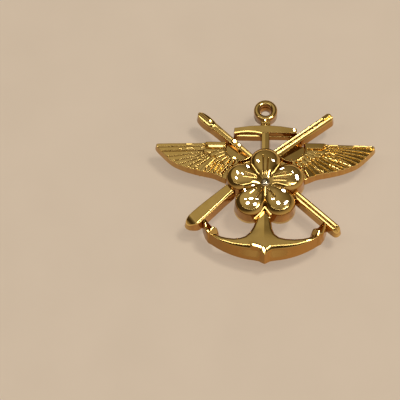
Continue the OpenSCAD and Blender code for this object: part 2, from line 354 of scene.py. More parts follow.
# ---------------------------------------------------------------- blossom
# A petal is drawn by u, the distance out from the middle along it, and v, the distance across it.
CORE_R = 5.4
PETAL_TOP = 5.55
PETAL_JOIN = 0.12
DOME_R = 2.75
DOME_ROLL = 1.25
SECTOR = math.tan(HALF_PETAL)
BLOSSOM_BOX = (-10.2, 10.2, -9.4, 10.4)
BOSS_R = 1.25
BOSS_BASE = 4.85
BOSS_RISE = 0.8

# Folds between the rays of the petals
FOLD_DEPTH = 0.22
FOLD_HALF = 0.13
FOLDS = [
    [(-0.4, 2.2), (-0.5, 7.4)], [(0.5, 2.2), (0.7, 6.8)],
    [(-0.5, -2.0), (-1.9, -4.4)], [(0.7, -2.0), (2.5, -4.2)],
    [(2.2, 1.75), (5.2, 2.6)], [(2.2, 0.85), (5.4, 1.0)], [(-2.2, 1.35), (-5.0, 1.9)]
]

# The ribs on the seams between the petals: half width, where they start and end, and the bend of the lower two
RIB_HALF = 0.17
RIB_REACH = (1.6, 6.2)
RIB_BEND = 0.68

# Polished rays between the boss and the rim, and the spots around them: (start, end, radius)
RAYS = [
    [(-0.25, 2.0), (-0.3, 6.9)], [(2.0, 1.3), (6.6, 2.1)], [(1.9, 0.45), (5.2, 0.25)],
    [(-2.5, 1.8), (-4.9, 2.7)], [(-2.3, 0.9), (-5.6, 1.3)], [(-2.2, -1.9), (-3.8, -3.4)],
    [(-0.9, -1.6), (-2.4, -4.2)], [(1.6, -0.9), (3.9, -1.9)], [(0.8, -1.6), (1.5, -4.0)]
]
RAY_HALF = 0.14
SPOTS = [
    ((-2.0, 5.9), (-1.6, 5.6), 0.26), ((1.8, 6.1), (2.2, 5.9), 0.2), ((3.9, 3.6), (4.6, 3.9), 0.16),
    ((7.9, 1.7), (8.1, 0.9), 0.36), ((6.8, 2.9), (7.0, 2.6), 0.15), ((-7.1, 2.6), (-6.8, 2.1), 0.22),
    ((-7.4, 1.0), (-7.2, 0.8), 0.22), ((-4.6, 4.4), (-4.2, 4.0), 0.22), ((-6.0, 2.2), (-5.6, 1.9), 0.13),
    ((-5.2, -2.3), (-4.9, -2.9), 0.2), ((-3.3, -1.0), (-2.8, -0.9), 0.14), ((4.3, -2.4), (4.9, -2.6), 0.26),
    ((-4.5, -6.2), (-4.2, -6.1), 0.32), ((-2.7, -6.5), (-2.4, -6.4), 0.32), ((3.2, -5.9), (3.4, -6.1), 0.36),
    ((5.0, -6.1), (5.5, -5.5), 0.28), ((-5.2, -5.1), (-4.7, -5.0), 0.12), ((-3.9, -5.0), (-3.2, -4.9), 0.22),
    ((-2.3, -5.0), (-1.8, -5.1), 0.13), ((1.7, -5.0), (2.2, -4.9), 0.18)
]
PROUD = 0.1     # how far rays and spots stand out of the petals
SKIRT = 0.1     # how far around a ray or a spot its height is worked out
SUNK = 4        # the height of their flat backs, inside the petals


def turned(x, y, angle):
    """A point seen along a direction from the middle: how far out and how far across."""
    return x * math.cos(angle) + y * math.sin(angle), -x * math.sin(angle) + y * math.cos(angle)


def blossom_sdf(x, y):
    d = np.hypot(x, y) - CORE_R
    for angle in PETAL_ANGLES:
        u, v = turned(x, y, angle)
        d = soft_min(d, np.hypot(u - PETAL_RING, v) - PETAL_R, PETAL_JOIN)
    return d


def petal_top(u, v):
    """A full petal that rounds over to its outer edge and dips a little towards the seams at its sides."""
    roll = np.clip((np.hypot(np.maximum(u - PETAL_RING, 0), v) - DOME_R) / DOME_ROLL, 0, 0.98)
    seam = np.clip(np.abs(v) / np.clip(SECTOR * u, 0.05, None), 0, 1)
    arch = 0.02 * np.maximum(u - 4.6, 0) ** 2 + 0.12 * np.maximum(3.6 - u, 0) ** 1.5 + 0.025 * v ** 2
    dip = 0.5 * seam ** 4 * smooth(u, 1.0, 3.0)
    rim = 0.5 * roll + 0.4 * (1 - np.sqrt(1 - roll ** 2))
    return PETAL_TOP - arch - dip - rim


def seam_rib(x, y, angle):
    """A rib between two petals, whose top mirrors the long lamp."""
    side = np.sign(round(math.cos(angle), 3))
    lower = math.sin(angle) < 0
    u, v = turned(x, y, angle)
    if lower:
        v = v - RIB_BEND * side * np.sin(np.clip((u - 1) / 6.5, 0, 1) * math.pi)
    if side == 0:
        rib = 5.45 - LINE_SLOPE * (u - 2.6)
    elif lower:
        rib = 5.0 - 0.05 * u + LINE_SLOPE * v * side
    else:
        rib = 4.75 + 0.21 * (u - 1.5) + 0.277 * v * side
    start, end = RIB_REACH
    rib = rib - 3 * np.maximum(np.abs(v) - RIB_HALF, 0)
    rib = rib - 3 * np.maximum(u - end, 0) - 1.5 * np.maximum(start - u, 0)
    return np.where(u > 0, rib, 0)


def blossom_top(x, y):
    z = np.zeros(np.shape(x))
    for angle in PETAL_ANGLES:
        u, v = turned(x, y, angle)
        z = np.where((u > 0) & (np.abs(v) <= SECTOR * u + 1e-4), petal_top(u, v), z)
    for line in FOLDS:
        z = z - groove(polyline(x, y, line), FOLD_DEPTH, FOLD_HALF)
    for angle in PETAL_ANGLES:
        z = np.maximum(z, seam_rib(x, y, angle + HALF_PETAL))
    return z


def on_rays(x, y):
    return np.min([segment(x, y, start, end)[0] for start, end in RAYS], axis=0) - RAY_HALF


def on_spots(x, y):
    return np.min([segment(x, y, start, end)[0] - radius for start, end, radius in SPOTS], axis=0)


def ray_top(x, y):
    """Low ridges on the petals whose narrow tops mirror the long lamp."""
    top = np.zeros(np.shape(x))
    for (ax, ay), (bx, by) in RAYS:
        d, s = segment(x, y, (ax, ay), (bx, by))
        px, py = ax + (bx - ax) * s, ay + (by - ay) * s
        ray = blossom_top(px, py) + PROUD + LINE_SLOPE * (y - py)
        top = np.maximum(top, np.where(d < RAY_HALF + SKIRT, ray, 0))
    return top


def spot_top(x, y):
    """Small flats on the petals that mirror the key lamp."""
    top = np.zeros(np.shape(x))
    for start, end, radius in SPOTS:
        mx, my = np.mean([start, end], axis=0)[:, None]
        flat = blossom_top(mx, my) + PROUD - LAMP_SLOPE[0] * (x - mx) - LAMP_SLOPE[1] * (y - my)
        top = np.maximum(top, np.where(segment(x, y, start, end)[0] < radius + SKIRT, flat, 0))
    return top


def plate_top(x, y):
    return np.full(np.shape(x), PLATE)


def make_blossom():
    shell = relief("blossom_shell", blossom_sdf, blossom_top, BLOSSOM_BOX, edge=0.2, base=PLATE, step=0.07,
                   draft=0.2)
    plate = relief("back_plate_struck", lambda x, y: blossom_sdf(x, y) - 0.16, plate_top, BLOSSOM_BOX,
                   edge=0.1, draft=0.1)
    turn = np.radians(np.linspace(0, 90, 12))
    profile = [(BOSS_R * math.sin(t), BOSS_BASE + BOSS_RISE * math.cos(t)) for t in turn]
    profile += [(1.3, 4.4), (1.1, 3.4), (0, 3.4)]
    boss = revolve("centre_boss", profile[::-1], (0, 0))
    rays = relief("petal_rays", on_rays, ray_top, BLOSSOM_BOX, edge=0.05, base=SUNK, step=0.06, draft=0.1)
    spots = relief("petal_spots", on_spots, spot_top, BLOSSOM_BOX, edge=0.05, base=SUNK, step=0.06, draft=0.1)
    return shell, plate, boss, rays, spots


# ---------------------------------------------------------------- rifles
# A rifle is drawn by s, the distance from its muzzle, and t, the distance across it.
RIGHT_RIFLE_LINE = soften([
    (0, -1.15), (3, -1.15), (16, -1.1), (30, -0.6), (35, -0.3), (41, 0.05), (46.2, 0.6), (48, 1.2),
    (48.1, 2.6), (46.6, 4.0), (45.4, 4.3), (44, 4.0), (35, 2.6), (28, 2), (16, 1.1), (3, 1.1), (0, 1.1)
], 1)
LEFT_RIFLE_LINE = soften([
    (-0.1, 0.2), (0.7, 1.0), (2.4, 1.3), (4.2, 1.2), (5.6, 0.9), (14.5, 0.85), (22, 0.75), (24, 0.95),
    (47, 1.1), (48.6, 0.8), (48.6, -0.9), (47, -1.15), (30, -1), (24, -0.95), (22, -0.3), (15.4, -0.3),
    (14.2, -0.9), (5.6, -0.95), (4.2, -1.25), (2.4, -1.35), (0.7, -1.1), (-0.1, -0.5)
], 2)
right_rifle_2d = outline(RIGHT_RIFLE_LINE)
left_rifle_2d = outline(LEFT_RIFLE_LINE)

# Cross-sections of the barrels and stocks: (across, height) pairs whose long flats mirror the long lamp
RIGHT_BARREL = [
    (-1.2, 2.7), (-1.0, 2.95), (-0.82, 3.0), (-0.5, 2.86), (0.05, 2.52), (0.2, 2.92), (0.26, 2.95),
    (0.58, 2.81), (1.1, 2.45)
]
LEFT_BARREL = [
    (-0.95, 2.2), (-0.7, 2.5), (-0.1, 2.6), (0.0, 2.5), (0.12, 2.56), (0.52, 2.74), (0.7, 2.74), (0.95, 2.4)
]
LEFT_STOCK = [
    (-1.1, 2.2), (-0.85, 2.5), (-0.35, 2.72), (-0.2, 2.4), (-0.05, 2.4), (0.1, 2.72), (0.6, 2.94),
    (0.85, 2.9), (1.1, 2.5)
]

# Polished knobs on the left rifle: (distance from its muzzle, radius), all at one height
LEFT_KNOBS = [(3.7, 0.3), (12.3, 0.5), (13.9, 0.42)]
KNOB_TOP = 3.05

# The rifles stop at the blossom's outline, and at least this far from its middle
HIDDEN_R = 7.2


def rifles_sdf(x, y):
    return np.minimum(right_rifle_2d(*to_local(RIGHT_RIFLE, x, y)), left_rifle_2d(*to_local(LEFT_RIFLE, x, y)))


def outside_blossom(x, y):
    return -np.minimum(blossom_sdf(x, y), np.hypot(x, y) - HIDDEN_R)


def section(t, pairs):
    """The height at a place across a section."""
    return np.interp(t, *zip(*pairs))


def right_rifle_top(s, t):
    """A ridged barrel with a foresight, and a broad butt that is lit along one side and rounded at its end."""
    sight = 3.3 + 0.25 * t + KNOB_FALL * np.minimum(within(s, t, 0.3, 2.3, -2, -0.2), 0)
    barrel = np.maximum(section(t, RIGHT_BARREL), np.where(s < 4, sight, 0))
    low_side = 2.6 + (s - 35) * 0.158 - t
    lit = 0.42 * np.clip(0.62 - low_side, 0, 1)
    butt = 3.25 - lit - 0.06 * np.clip(low_side - 0.62, 0, 9)
    on_butt = smooth(s, 28, 33)
    return barrel * (1 - on_butt) + butt * on_butt - 1.9 * np.clip((s - 46.0) / 2.4, 0, 1) ** 2


def left_rifle_top(s, t):
    """A leaf shaped end, a ridged barrel with knobs, and a stock."""
    on_leaf = 1 - smooth(s, 4.4, 5.8)
    on_stock = smooth(s, 27, 30)
    bar = section(t, LEFT_BARREL) * (1 - on_stock) + section(t, LEFT_STOCK) * on_stock
    leaf = 2.35 + 0.6 * np.clip(1 - (np.abs(t) / 1.35) ** 1.6, 0, 1) - 0.25 * smooth(t, -0.2, 0.6)
    z = on_leaf * leaf + (1 - on_leaf) * bar - 1.2 * np.clip((s - 47.2) / 1.4, 0, 1) ** 2
    x, y = to_frame(LEFT_RIFLE, s, t)
    for at, radius in LEFT_KNOBS:
        line = [to_frame(LEFT_RIFLE, at + end, 0.15) for end in (0, 0.1)]
        z = np.maximum(z, glint(x, y, line, radius, KNOB_TOP))
    return z


def make_rifles():
    def cut(line, at):
        return lambda s, t: soft_max(line(s, t), outside_blossom(*to_frame(at, s, t)), CRISP)
    right = relief("right_rifle_struck", cut(right_rifle_2d, RIGHT_RIFLE), right_rifle_top, (-0.5, 49, -1.8, 5),
                   edge=0.2, place=RIGHT_RIFLE, step=0.1)
    left = relief("left_rifle_struck", cut(left_rifle_2d, LEFT_RIFLE), left_rifle_top, (-0.5, 49.2, -2, 2),
                  edge=0.2, place=LEFT_RIFLE, step=0.1)
    return right, left


# ---------------------------------------------------------------- wings
# Both wings are drawn to the right; x is counted out from the middle, and hand is -1 for the left wing.
WING_BODY = outline(soften([
    (8.2, 12.4), (15.4, 12.45), (16.2, 12.3), (27.3, 12.35), (28, 12.1), (27.7, 11.2), (26.3, 9.7), (24.9, 8.2),
    (23.3, 6.8), (21.4, 5.9), (19.4, 5.1), (16, 4.2), (13, 3.6), (11, 2.6), (7, 1), (3, 4), (2, 8.2), (3, 9.1),
    (7.6, 12.6)
], 1))
WING_BOX = (1.5, 28.6, 0.5, 13)
WING_TOP = 2.1
WING_FALL = 0.045
POCKET = (6.6, 11.1)
POCKET_R = 3.5
BAR_GROOVE = [(10.2, 10.6), (14.6, 10.6), (15.7, 11.8)]
COVERT_TIPS = [(15.2, 9.9), (13.6, 8.9), (12.2, 8.4), (11.2, 7.5), (10.3, 6.7), (9.0, 6.0), (7.6, 5.9)]
COVERT_ROOTS = [(10.6, 10.4), (10.4, 10.0), (9.9, 9.5), (9.4, 8.9), (8.8, 8.2), (8.0, 7.7), (7.0, 7.3)]
ABOVE_HALF = 0.17
BELOW_HALF = 0.08


def fan(count, roots, bends, tips):
    """Curves that part a group of feathers, spread evenly along three lines: where they grow, bend and end."""
    lines = zip(along(roots, count + 1), along(bends, count + 1), along(tips, count + 1))
    return [bend(a, b, c) for a, b, c in lines]


# Groups of feathers, from the leading edge inwards:
# (curves, rise, tilt, width of the lit edge, depth of the groove above, depth of the groove below).
# The struck feathers differ a little from one wing to the other.
FEATHERS = {
    -1: [
        (fan(2, [(15.9, 12.6), (15.7, 10.35)], [(21, 12.7), (21, 10.3)], [(28.2, 12.5), (26.6, 10.2)]),
         0.5, 0, 0.1, 0.12, 0),
        (fan(6, [(15.6, 10.35), (13.2, 8.4)], [(19.5, 10.2), (18.6, 8.0), (14.8, 6.2)],
             [(27.0, 10.2), (25.7, 8.4), (23.9, 6.9), (21.8, 5.8), (19.8, 5.0), (17.0, 4.2)]),
         0.36, 0.02, 0, 0.2, 0),
        (fan(5, [(13.2, 8.4), (12.2, 8.0), (9.4, 6.6)], [(15.2, 6.9), (13.4, 5.9), (10.6, 4.8)],
             [(17.0, 4.2), (15.2, 3.9), (13.2, 3.5), (11.0, 2.6)]),
         0.4, 0, 0.15, 0.3, 0),
    ],
    1: [
        (fan(1, [(15.4, 12.6), (15.4, 11.7)], [(21, 12.7), (21, 11.75)], [(28.2, 12.5), (27.9, 11.7)]),
         0.55, 0, 0.05, 0, 0),
        (fan(5, [(15.4, 11.7), (14.4, 9.4)], [(21.5, 11.7), (21.6, 10.1), (20.2, 8.2)],
             [(28.0, 11.6), (27.2, 10.0), (26.0, 8.4), (24.4, 7.1), (22.6, 5.9)]),
         0.36, -0.24, 0.08, 0.3, 0.3),
        (fan(6, [(14.4, 9.4), (12, 8.2), (9.2, 6.4)], [(17.6, 7.4), (14, 6), (10.6, 4.6)],
             [(22.6, 5.9), (19, 4.7), (14.4, 3.8), (11, 2.6)]),
         0.4, -0.2, 0.1, 0.3, 0.3),
    ],
}

# Polished lines on the wings
COVERT_EDGE = [
    (8.1, 6.3), (8.9, 6.9), (9.9, 6.9), (10.7, 7.9), (11.6, 8.1), (12.4, 8.9), (13.4, 8.8), (14.6, 9.6)
]
STREAK_HALF = 0.15
STREAK_TOP = 0.66
STREAKS = {
    -1: [
        [(14.2, 5.7), (12.4, 7.0)], [(13.0, 4.7), (11.4, 7.2)], [(11.4, 3.5), (9.5, 5.9)],
        [(12.3, 3.9), (10.9, 6.0)], [(14.6, 9.7), (13.3, 9.0)], [(19.6, 5.4), (19.2, 5.6)],
        [(17.8, 4.7), (17.2, 4.8)], [(22.0, 10.6), (21.4, 10.6)], [(20.2, 10.7), (18.6, 10.8)],
        [(20.2, 11.9), (18.7, 11.9)], [(16.3, 10.9), (15.5, 11.2)], COVERT_EDGE[3:],
    ],
    1: [
        [(15.2, 8.6), (18.3, 7.5)], [(19, 7.3), (22, 6.2)], [(16.3, 6.4), (19, 5.1)],
        [(15.4, 9.9), (17.6, 9.4)], [(12.6, 5.4), (14.6, 4.4)], [(10.2, 4.6), (11.0, 3.0)],
        [(22.6, 12.05), (27.0, 12.0)], [(16.2, 12.0), (18.4, 12.0)], [(15.3, 11.2), (16.4, 11.9)], COVERT_EDGE,
    ],
}


def wing_sdf(hand):
    def sdf(x, y):
        d = soft_max(WING_BODY(x, y), -rifles_sdf(hand * x, y), CRISP)
        return soft_max(d, -blossom_sdf(x, y), CRISP)
    return sdf


def shingles(x, y, lines, tilt, lit, above_groove, below_groove):
    """Feathers between curves: tilted strips with grooves at their sides and an edge that mirrors the long lamp.

    The grooves have the depths above_groove and below_groove, and the lit edge has the width lit.
    """
    z = np.full(np.shape(x), -9.0)
    runs = [path(x, y, line) for line in lines]
    for (above, upper_side), (below, lower_side) in zip(runs, runs[1:]):
        strip = tilt * (below - above) / 2 - LINE_SLOPE * np.clip(lit - below, 0, lit)
        strip = strip - groove(above, above_groove, ABOVE_HALF) - groove(below, below_groove, BELOW_HALF)
        z = np.where((upper_side < 0) & (lower_side > 0), strip, z)
    return z


def shoulder_bar(x, y, hand):
    """The bar at the top of a wing's inner half; the left one's lower part mirrors the long lamp."""
    bar_end = 15.2 - 0.5 * (12.4 - y)
    bar = 1.0 + KNOB_FALL * np.minimum(within(x, y, 10.2, bar_end, 10.85, 12.6), 0)
    return bar - (LINE_SLOPE * np.clip(11.5 - y, 0, 1) if hand < 0 else 0.12 * (y - 11.6))


def pocket_bowl(x, y, hand):
    """The shallow bowl between a wing and the rifle that crosses it; the left one has a polished spot."""
    if hand < 0:
        return np.maximum(1.5 - 0.08 * (y - 9), glint(x, y, [(8.0, 8.6), (7.5, 8.4)], 0.3, 1.65, hand))
    return 1.5 - 0.16 * (y - 9)


def wing_top(hand):
    """Heights of one wing: feathers, coverts, polished lines, the shoulder bar, and the bowl with its rim."""
    def top(x, y):
        z = np.full(np.shape(x), 0.1)
        for lines, rise, *shape in FEATHERS[hand]:
            z = np.maximum(z, rise + shingles(x, y, lines, *shape))
        for root, tip in zip(COVERT_ROOTS, COVERT_TIPS):
            d, s = segment(x, y, root, tip)
            z = soft_max(z, 0.8 * (1 - (d / (0.42 + 0.25 * s)) ** 8), 0.03)
        for line in STREAKS[hand]:
            z = np.maximum(z, streak(x, y, line, STREAK_HALF, STREAK_TOP))
        z = np.maximum(z, shoulder_bar(x, y, hand)) - groove(polyline(x, y, BAR_GROOVE), 0.3, 0.16)
        far = np.hypot(x - POCKET[0], y - POCKET[1])
        z = soft_max(z, 0.95 * bump(far - POCKET_R - 0.4, 0.45), CRISP)
        outside = smooth(far, POCKET_R - 0.12, POCKET_R + 0.08)
        feathered = WING_TOP + z - WING_FALL * np.maximum(x - 14, 0)
        return feathered * outside + pocket_bowl(x, y, hand) * (1 - outside)
    return top


def make_wings():
    left = relief("left_wing_struck", wing_sdf(-1), wing_top(-1), WING_BOX, edge=0.16, flip=True, step=0.07)
    right = relief("right_wing_struck", wing_sdf(1), wing_top(1), WING_BOX, edge=0.16, step=0.07)
    return left, right


# ---------------------------------------------------------------- anchor
ARM_R = 22.3
ARM_Y = 3.0
ARM_ARC = [(x, ARM_Y - math.sqrt(ARM_R ** 2 - x * x)) for x in np.linspace(2.6, 13.2, 9)]
FLUKE = [(13.9, -14.6), (14.7, -13.4), (15.2, -11.9), (15.5, -10.4), (15.2, -9.4), (14.3, -10.3), (13.1, -11.3),
         (12.1, -12.0), (11.6, -13.0), (11.9, -13.6), (10.9, -14.2)]
RIGHT_INNER = [(9.5, -14.6), (7.5, -14.8), (5.2, -14.7), (3.6, -14.3), (2.5, -13.4), (1.9, -12), (1.6, -10),
               (1.5, -8.5), (2.2, -6.4)]
LEFT_INNER = [(9.5, -14.6), (7.8, -14.8), (6.2, -14.6), (4.9, -14.1), (3.8, -13.0), (2.9, -11.4), (2.3, -9.8),
              (2.1, -8.5), (2.2, -6.4)]
lower_anchor_2d = outline(
    [(0, -20.1), (1.3, -19.4)] + ARM_ARC + FLUKE + RIGHT_INNER
    + [(-x, y) for x, y in reversed([(1.3, -19.4)] + ARM_ARC + FLUKE + LEFT_INNER)]
)
CROWN_RIDGE = [
    (14.2, -13.2), (13.3, -13.9), (12, -14.8), (10.5, -15.7), (8, -16.45), (5.5, -16.8), (3.3, -16.95),
    (1.6, -17.15), (0.6, -18.0), (0, -19.2)
]
crown_ridge = CROWN_RIDGE + [(-x, y) for x, y in CROWN_RIDGE[-2::-1]]
FLUKE_RIDGE = [(15.25, -9.7), (14.25, -13.4), (12.3, -12.3)]
FACE = 3.25
HULL = [(0, 3.25), (0.25, 3.1), (0.7, 2.85)]

# Polished spots at the crown and on the flukes: (line, radius, height)
ANCHOR_KNOBS = [
    ([(-2.9, -16.9), (-1.2, -17.25), (-0.4, -17.7)], 0.34, 3.95), ([(-0.35, -17.7), (0.0, -18.6)], 0.42, 3.55),
    ([(-14.95, -11.0), (-14.5, -12.6)], 0.17, 3.8), ([(-14.35, -13.0), (-14.15, -13.4)], 0.2, 3.7),
    ([(-13.5, -12.7), (-12.9, -12.1)], 0.18, 3.6), ([(13.6, -12.8), (13.3, -13.8)], 0.22, 3.8)
]

# The polished point of the shank under the blossom
CHEVRON = [(-2.65, -9.5), (-1.45, -8.5), (-0.12, -6.7), (1.45, -8.45)]
CHEVRON_HALF = 0.17

# The cross bar, the eye of the ring and the neck between them
STOCK_LINE = [
    (-8, 14.6), (-0.9, 14.6), (-0.9, 14.9), (8, 14.9), (8, 16.5), (4, 17.1), (0, 17.35), (-4, 17.1), (-8, 16.5)
]
RING_AT = (0, 21.9)
RING_R = 2.28
RING_HALF = 0.72
NECK_LINE = [(-1.3, 17.2), (1.3, 17.2), (1.2, 19.7), (-1.2, 19.7)]


def anchor_sdf(x, y):
    shank = soft_max(np.abs(x) - 1.0, np.abs(y - 12) - 3.2, CRISP)
    d = np.minimum(lower_anchor_2d(x, y), shank)
    d = soft_max(d, -rifles_sdf(x, y), CRISP)
    return soft_max(d, -blossom_sdf(x, y), CRISP)


def anchor_top(x, y):
    """A gabled shank, arms with a lit ridge over a sloping hull, flukes, and polished knobs."""
    to_rim = np.maximum(-lower_anchor_2d(x, y), 0)
    to_ridge = polyline(x, y, crown_ridge)
    face = FACE - 0.1 * np.abs(x + 0.2) * (1 - smooth(-y, 11, 15.5)) * (y < 0)
    face = face - 0.08 * np.abs(x + 0.1) * (y > 0)
    face = face + 0.12 * smooth(-y, 11, 14) - 0.35 * np.clip(1 - to_rim / 0.7, 0, 1) ** 2 * (y < -9)
    face = face - LINE_SLOPE * np.clip(0.34 - to_ridge, 0, 1)
    down = to_ridge / (to_ridge + to_rim + 1e-6)
    hull = section(to_ridge, HULL) - 2.05 * np.clip((down - 0.25) / 0.75, 0, 1)
    below_ridge = np.interp(x, *zip(*crown_ridge[::-1])) > y
    top = np.where(below_ridge & (y < -12), hull, face)
    on_fluke = smooth(np.abs(x), 11.2, 11.8) * smooth(y, -14.2, -13.4)
    fluke = np.maximum(3.6 - polyline(np.abs(x), y, FLUKE_RIDGE), 1.9)
    top = top * (1 - on_fluke) + fluke * on_fluke
    for line, radius, height in ANCHOR_KNOBS:
        top = np.maximum(top, glint(x, y, line, radius, height))
    return top


def chevron_sdf(x, y):
    return polyline(x, y, CHEVRON) - CHEVRON_HALF


def chevron_top(_, y):
    """Both arms mirror the long lamp."""
    return 3.6 + LINE_SLOPE * (y - CHEVRON[0][1])


stock_2d = outline(STOCK_LINE)
neck_2d = outline(NECK_LINE)


def stock_sdf(x, y):
    return soft_max(stock_2d(x, y), -rifles_sdf(x, y), CRISP)


def stock_top(x, y):
    """An arched face with a lit front edge, and below it a ledge that is lit on the left."""
    left = x < -0.8
    front = 15.3 + np.where(left, 0.5 * np.sin((x + 8) / 7.2 * math.pi), 0)
    lit = np.where(left, 0.45, 0.12)
    face = 3.1 + 0.1 * np.cos(x * math.pi / 16) - LINE_SLOPE * np.clip(front - y, 0, lit)
    face = np.maximum(face, glint(x, y, [(7.3, 16.2), (7.5, 15.6)], 0.3, 3.25))
    ledge = np.where(left, 2.1 - LINE_SLOPE * np.clip(15.0 - y, 0, 9), 1.5)
    up = smooth(y - front + lit, -0.14, 0)
    return face * up + ledge * (1 - up)


def neck_top(x, y):
    """Small beads along the neck, and a polished spot."""
    beads = 0.28 * np.abs(np.sin((y - 17.2) * math.pi / 0.8))
    return np.maximum(2.6 + beads - 0.25 * np.abs(x), glint(x, y, [(-0.1, 19.0), (-0.1, 18.8)], 0.22, 3.05))


def make_ring():
    """A full tube over a straight wall, with a bore that narrows downwards."""
    turn = np.radians(np.linspace(-90, 90, 15))
    tube = [(RING_R + RING_HALF * math.sin(t), 2.4 + 0.7 * max(math.cos(t), 0) ** 0.6) for t in turn]
    bore = [(1.45, 1.7), (1.15, 1.0), (1.15, 0)]
    return revolve("anchor_ring_struck", [(3.04, 0), *tube[::-1], *bore], RING_AT)


def make_anchor():
    body = relief("anchor_struck", anchor_sdf, anchor_top, (-16, 16, -20.4, 15.4), edge=0.16, step=0.1)
    stock = relief("anchor_stock_struck", stock_sdf, stock_top, (-8.4, 8.4, 14.3, 17.7), edge=0.1, step=0.07,
                   draft=0.2)
    ring = make_ring()
    neck = relief("anchor_neck_struck", neck_2d, neck_top, (-1.6, 1.6, 17, 20), edge=0.15, step=0.06, draft=0.2)
    chevron = relief("anchor_chevron", chevron_sdf, chevron_top, (-3, 2, -9.9, -6.3), edge=0.05, base=3,
                     step=0.05, draft=0.1)
    return body, stock, ring, neck, chevron


# ---------------------------------------------------------------- materials
class Nodes:
    """A short way to write a material's node tree; a value may be a number, a colour or another node's output."""

    def __init__(self, name):
        self.mat = bpy.data.materials.new(name)
        self.mat.use_nodes = True
        self.tree = self.mat.node_tree
        self.shader = self.tree.nodes["Principled BSDF"]

    def add(self, kind, inputs=(), **props):
        """A node with these inputs and settings."""
        node = self.tree.nodes.new(kind)
        for key, value in props.items():
            setattr(node, key, value)
        for key, value in dict(inputs).items():
            self.put(value, node.inputs[key])
        return node

    def put(self, value, socket):
        if isinstance(value, bpy.types.NodeSocket):
            self.tree.links.new(value, socket)
        else:
            socket.default_value = value

    def noise(self, scale, detail, stretch=(1, 1, 1)):
        """Noise in the badge's own axes, 0 to 1; stretch above 1 makes it finer along that axis."""
        where = self.add("ShaderNodeTexCoord").outputs["Object"]
        mapped = self.add("ShaderNodeMapping", {"Vector": where, "Scale": stretch}).outputs["Vector"]
        made = self.add("ShaderNodeTexNoise", {"Vector": mapped, "Scale": scale, "Detail": detail})
        return made.outputs["Fac"]

    def fit(self, value, low, high, to_low, to_high):
        """A value that runs from to_low to to_high while another one runs from low to high."""
        made = self.add("ShaderNodeMapRange", {"Value": value, "From Min": low, "From Max": high,
                                               "To Min": to_low, "To Max": to_high})
        return made.outputs["Result"]

    def mix(self, share, a, b):
        """Colour a where the share is 0, and colour b where it is 1."""
        made = self.add("ShaderNodeMix", data_type="RGBA")
        self.put(share, made.inputs[0])
        self.put(a, made.inputs[6])
        self.put(b, made.inputs[7])
        return made.outputs[2]


# Colours of the plating: bright, worn, and in the grooves; a painted orange reflection on its walls, and painted
# shade on the walls away from the lamps
PLATE_TONES = (0.95, 0.68, 0.24, 1), (0.86, 0.60, 0.19, 1), (0.22, 0.09, 0.015, 1)
PAINTED_WALL_REFLECTION = (0.55, 0.28, 0.075, 1)
PAINTED_WALL_SHADE = (0.36, 0.19, 0.055, 1)


def metal(name, bright, worn, groove_dark, rough=(0.06, 0.16), scratch=0.02, pits=0.03, steep=None):
    """Plated metal: its colour drifts between bright and worn, and turns darker in the grooves.

    Where steep is given, the faces between these two slopes turn to painted wall colours: a painted orange
    reflection, darker as painted shade where they face away from the key lamp.
    """
    n = Nodes(name)
    colour = n.mix(n.fit(n.noise(260, 3), 0.35, 0.65, 0, 1), bright, worn)
    if steep:
        up = n.add("ShaderNodeSeparateXYZ", {"Vector": n.add("ShaderNodeTexCoord").outputs["Normal"]})
        # Painted wall colours: a painted orange reflection on steep faces, with painted shade on those facing -X,
        # away from the key lamp
        wall = n.mix(n.fit(up.outputs["X"], -0.5, 0.4, 0, 1), PAINTED_WALL_SHADE, PAINTED_WALL_REFLECTION)
        colour = n.mix(n.fit(up.outputs["Z"], *steep, 0, 1), colour, wall)
    hollow = n.add("ShaderNodeNewGeometry").outputs["Pointiness"]
    # Darker in the grooves and hollows, where the mesh is concave
    colour = n.mix(n.fit(hollow, 0.49, 0.43, 0, 0.75), colour, groove_dark)
    n.put(colour, n.shader.inputs["Base Color"])
    n.shader.inputs["Metallic"].default_value = 1.0
    n.put(n.fit(n.noise(900, 5), 0.3, 0.7, *rough), n.shader.inputs["Roughness"])
    hairs = n.noise(1500, 2, (1, 14, 1))
    hairs = n.add("ShaderNodeMath", {0: hairs, 1: scratch}, operation="MULTIPLY").outputs[0]
    grain = n.noise(2600, 3)
    height = n.add("ShaderNodeMath", {0: grain, 1: pits, 2: hairs}, operation="MULTIPLY_ADD").outputs[0]
    raised = n.add("ShaderNodeBump", {"Height": height, "Strength": 0.16, "Distance": 0.0004})
    n.put(raised.outputs["Normal"], n.shader.inputs["Normal"])
    return n.mat


def dress(obj, material):
    obj.data.materials.clear()
    obj.data.materials.append(material)


GOLD = metal("gold_plate", *PLATE_TONES, steep=(0.8, 0.5))
FINE_GOLD = metal("gold_fine", *PLATE_TONES, steep=(0.3, 0.12))
